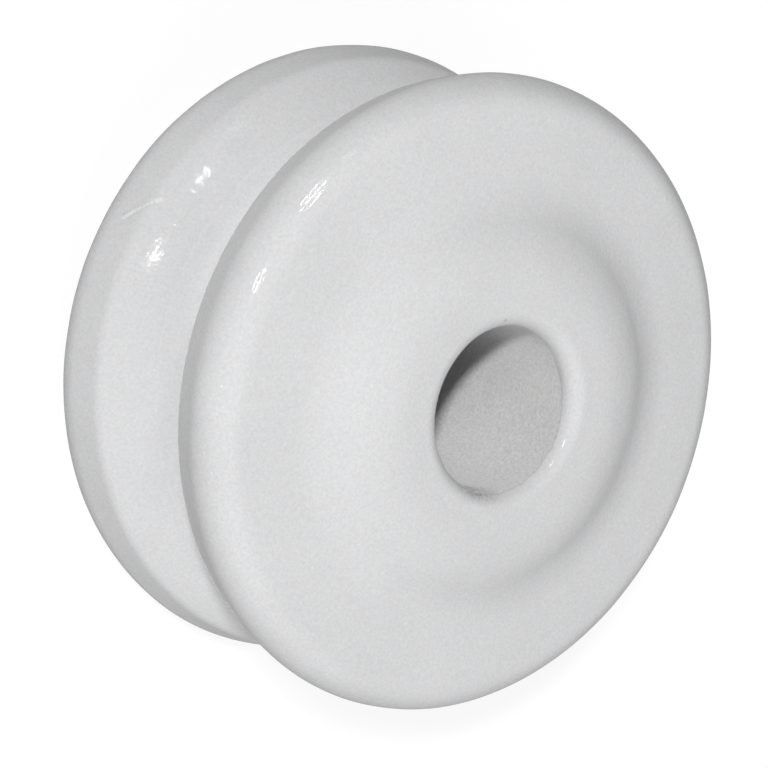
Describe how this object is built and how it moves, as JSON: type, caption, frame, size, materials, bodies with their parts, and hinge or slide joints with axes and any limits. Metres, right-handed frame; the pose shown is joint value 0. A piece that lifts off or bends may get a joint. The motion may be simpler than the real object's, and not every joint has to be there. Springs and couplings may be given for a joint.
{
  "type": "fence corner insulator",
  "caption": "Glazed porcelain fence insulator: a round spool with broad rounded flanges, a deep wire groove between them and a raised boss round a plain through bore.",
  "frame": {"origin": "on the bore axis in the middle plane of the wire groove, which is the centre of the part", "axes": "+Z along the bore axis, out of one boss end; the part stands on the other boss end"},
  "size_m": [0.057, 0.057, 0.032],
  "materials": {
    "porcelain": "white glaze, glossy, finely speckled"
  },
  "bodies": {
    "root": {"insulator_body": "porcelain"}
  },
  "joints": []
}
